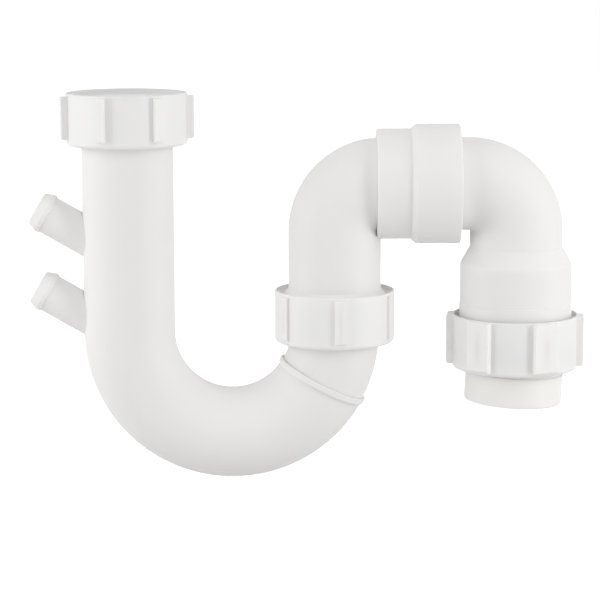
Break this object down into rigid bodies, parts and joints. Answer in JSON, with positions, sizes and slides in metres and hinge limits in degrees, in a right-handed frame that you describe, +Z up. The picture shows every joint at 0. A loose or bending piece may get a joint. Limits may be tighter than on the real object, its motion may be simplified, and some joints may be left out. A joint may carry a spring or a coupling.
{
  "type": "combination waste trap",
  "caption": "White plastic tubular sink trap: J-shaped body with slanted hose nozzles, union nuts, and a swivelling outlet bend ending in a compression socket with a short tail pipe.",
  "frame": {"origin": "centre of the inlet washer's top face, where the sink's waste outlet seats, on the inlet nut's axis", "axes": "+Z up, out of the inlet nut's mouth; +X from the inlet towards the outlet; all tube axes lie in the plane Y = 0"},
  "size_m": [0.2469, 0.0604, 0.1724],
  "materials": {
    "white_polypropylene": "satin as moulded",
    "nut_polypropylene": "satin as moulded",
    "tail_plastic": "satin, faintly ivory",
    "slip_plastic": "smooth",
    "seal_rubber": "dull"
  },
  "bodies": {
    "trap": {"trap_body": "white_polypropylene", "riser_elbow": "white_polypropylene", "inlet_washer": "seal_rubber", "riser_washer": "seal_rubber"},
    "inlet_nut": {"inlet_nut": "nut_polypropylene"},
    "riser_nut": {"riser_nut": "nut_polypropylene"},
    "upper_bend": {"upper_bend": "white_polypropylene", "swivel_seal": "seal_rubber"},
    "outlet": {"outlet_bend": "white_polypropylene", "outlet_seal": "seal_rubber"},
    "slip_washer": {"slip_washer": "slip_plastic"},
    "outlet_nut": {"outlet_nut": "nut_polypropylene"},
    "outlet_tail": {"outlet_tail": "tail_plastic"}
  },
  "joints": [
    {"name": "inlet_nut_spin", "type": "hinge", "parent": "trap", "child": "inlet_nut", "pos_m": [0, 0, 0], "axis": [0, 0, 1], "continuous": true},
    {"name": "riser_nut_spin", "type": "hinge", "parent": "trap", "child": "riser_nut", "pos_m": [0.0913, 0, -0.0885], "axis": [0, 0, 1], "continuous": true},
    {"name": "riser_swivel", "type": "hinge", "parent": "trap", "child": "upper_bend", "pos_m": [0.0913, 0, -0.0885], "axis": [0, 0, 1], "range_deg": [-105, 105]},
    {"name": "outlet_swivel", "type": "hinge", "parent": "upper_bend", "child": "outlet", "pos_m": [0.1718, 0, -0.0266], "axis": [1, 0, 0], "continuous": true},
    {"name": "outlet_nut_drop", "type": "slide", "parent": "outlet", "child": "slip_washer", "axis": [0, 0, -1], "range_m": [0, 0.01154]},
    {"name": "outlet_nut_spin", "type": "hinge", "parent": "slip_washer", "child": "outlet_nut", "pos_m": [0.1718, 0, -0.1], "axis": [0, 0, -1], "range_deg": [0, 1800]},
    {"name": "tail_draw", "type": "slide", "parent": "outlet", "child": "outlet_tail", "axis": [-0.0523, 0, -0.9986], "range_m": [0, 0.03]}
  ],
  "couplings": [
    {"joint": "outlet_nut_drop", "follows": "outlet_nut_spin", "m_per_rad": 0.00036749}
  ]
}
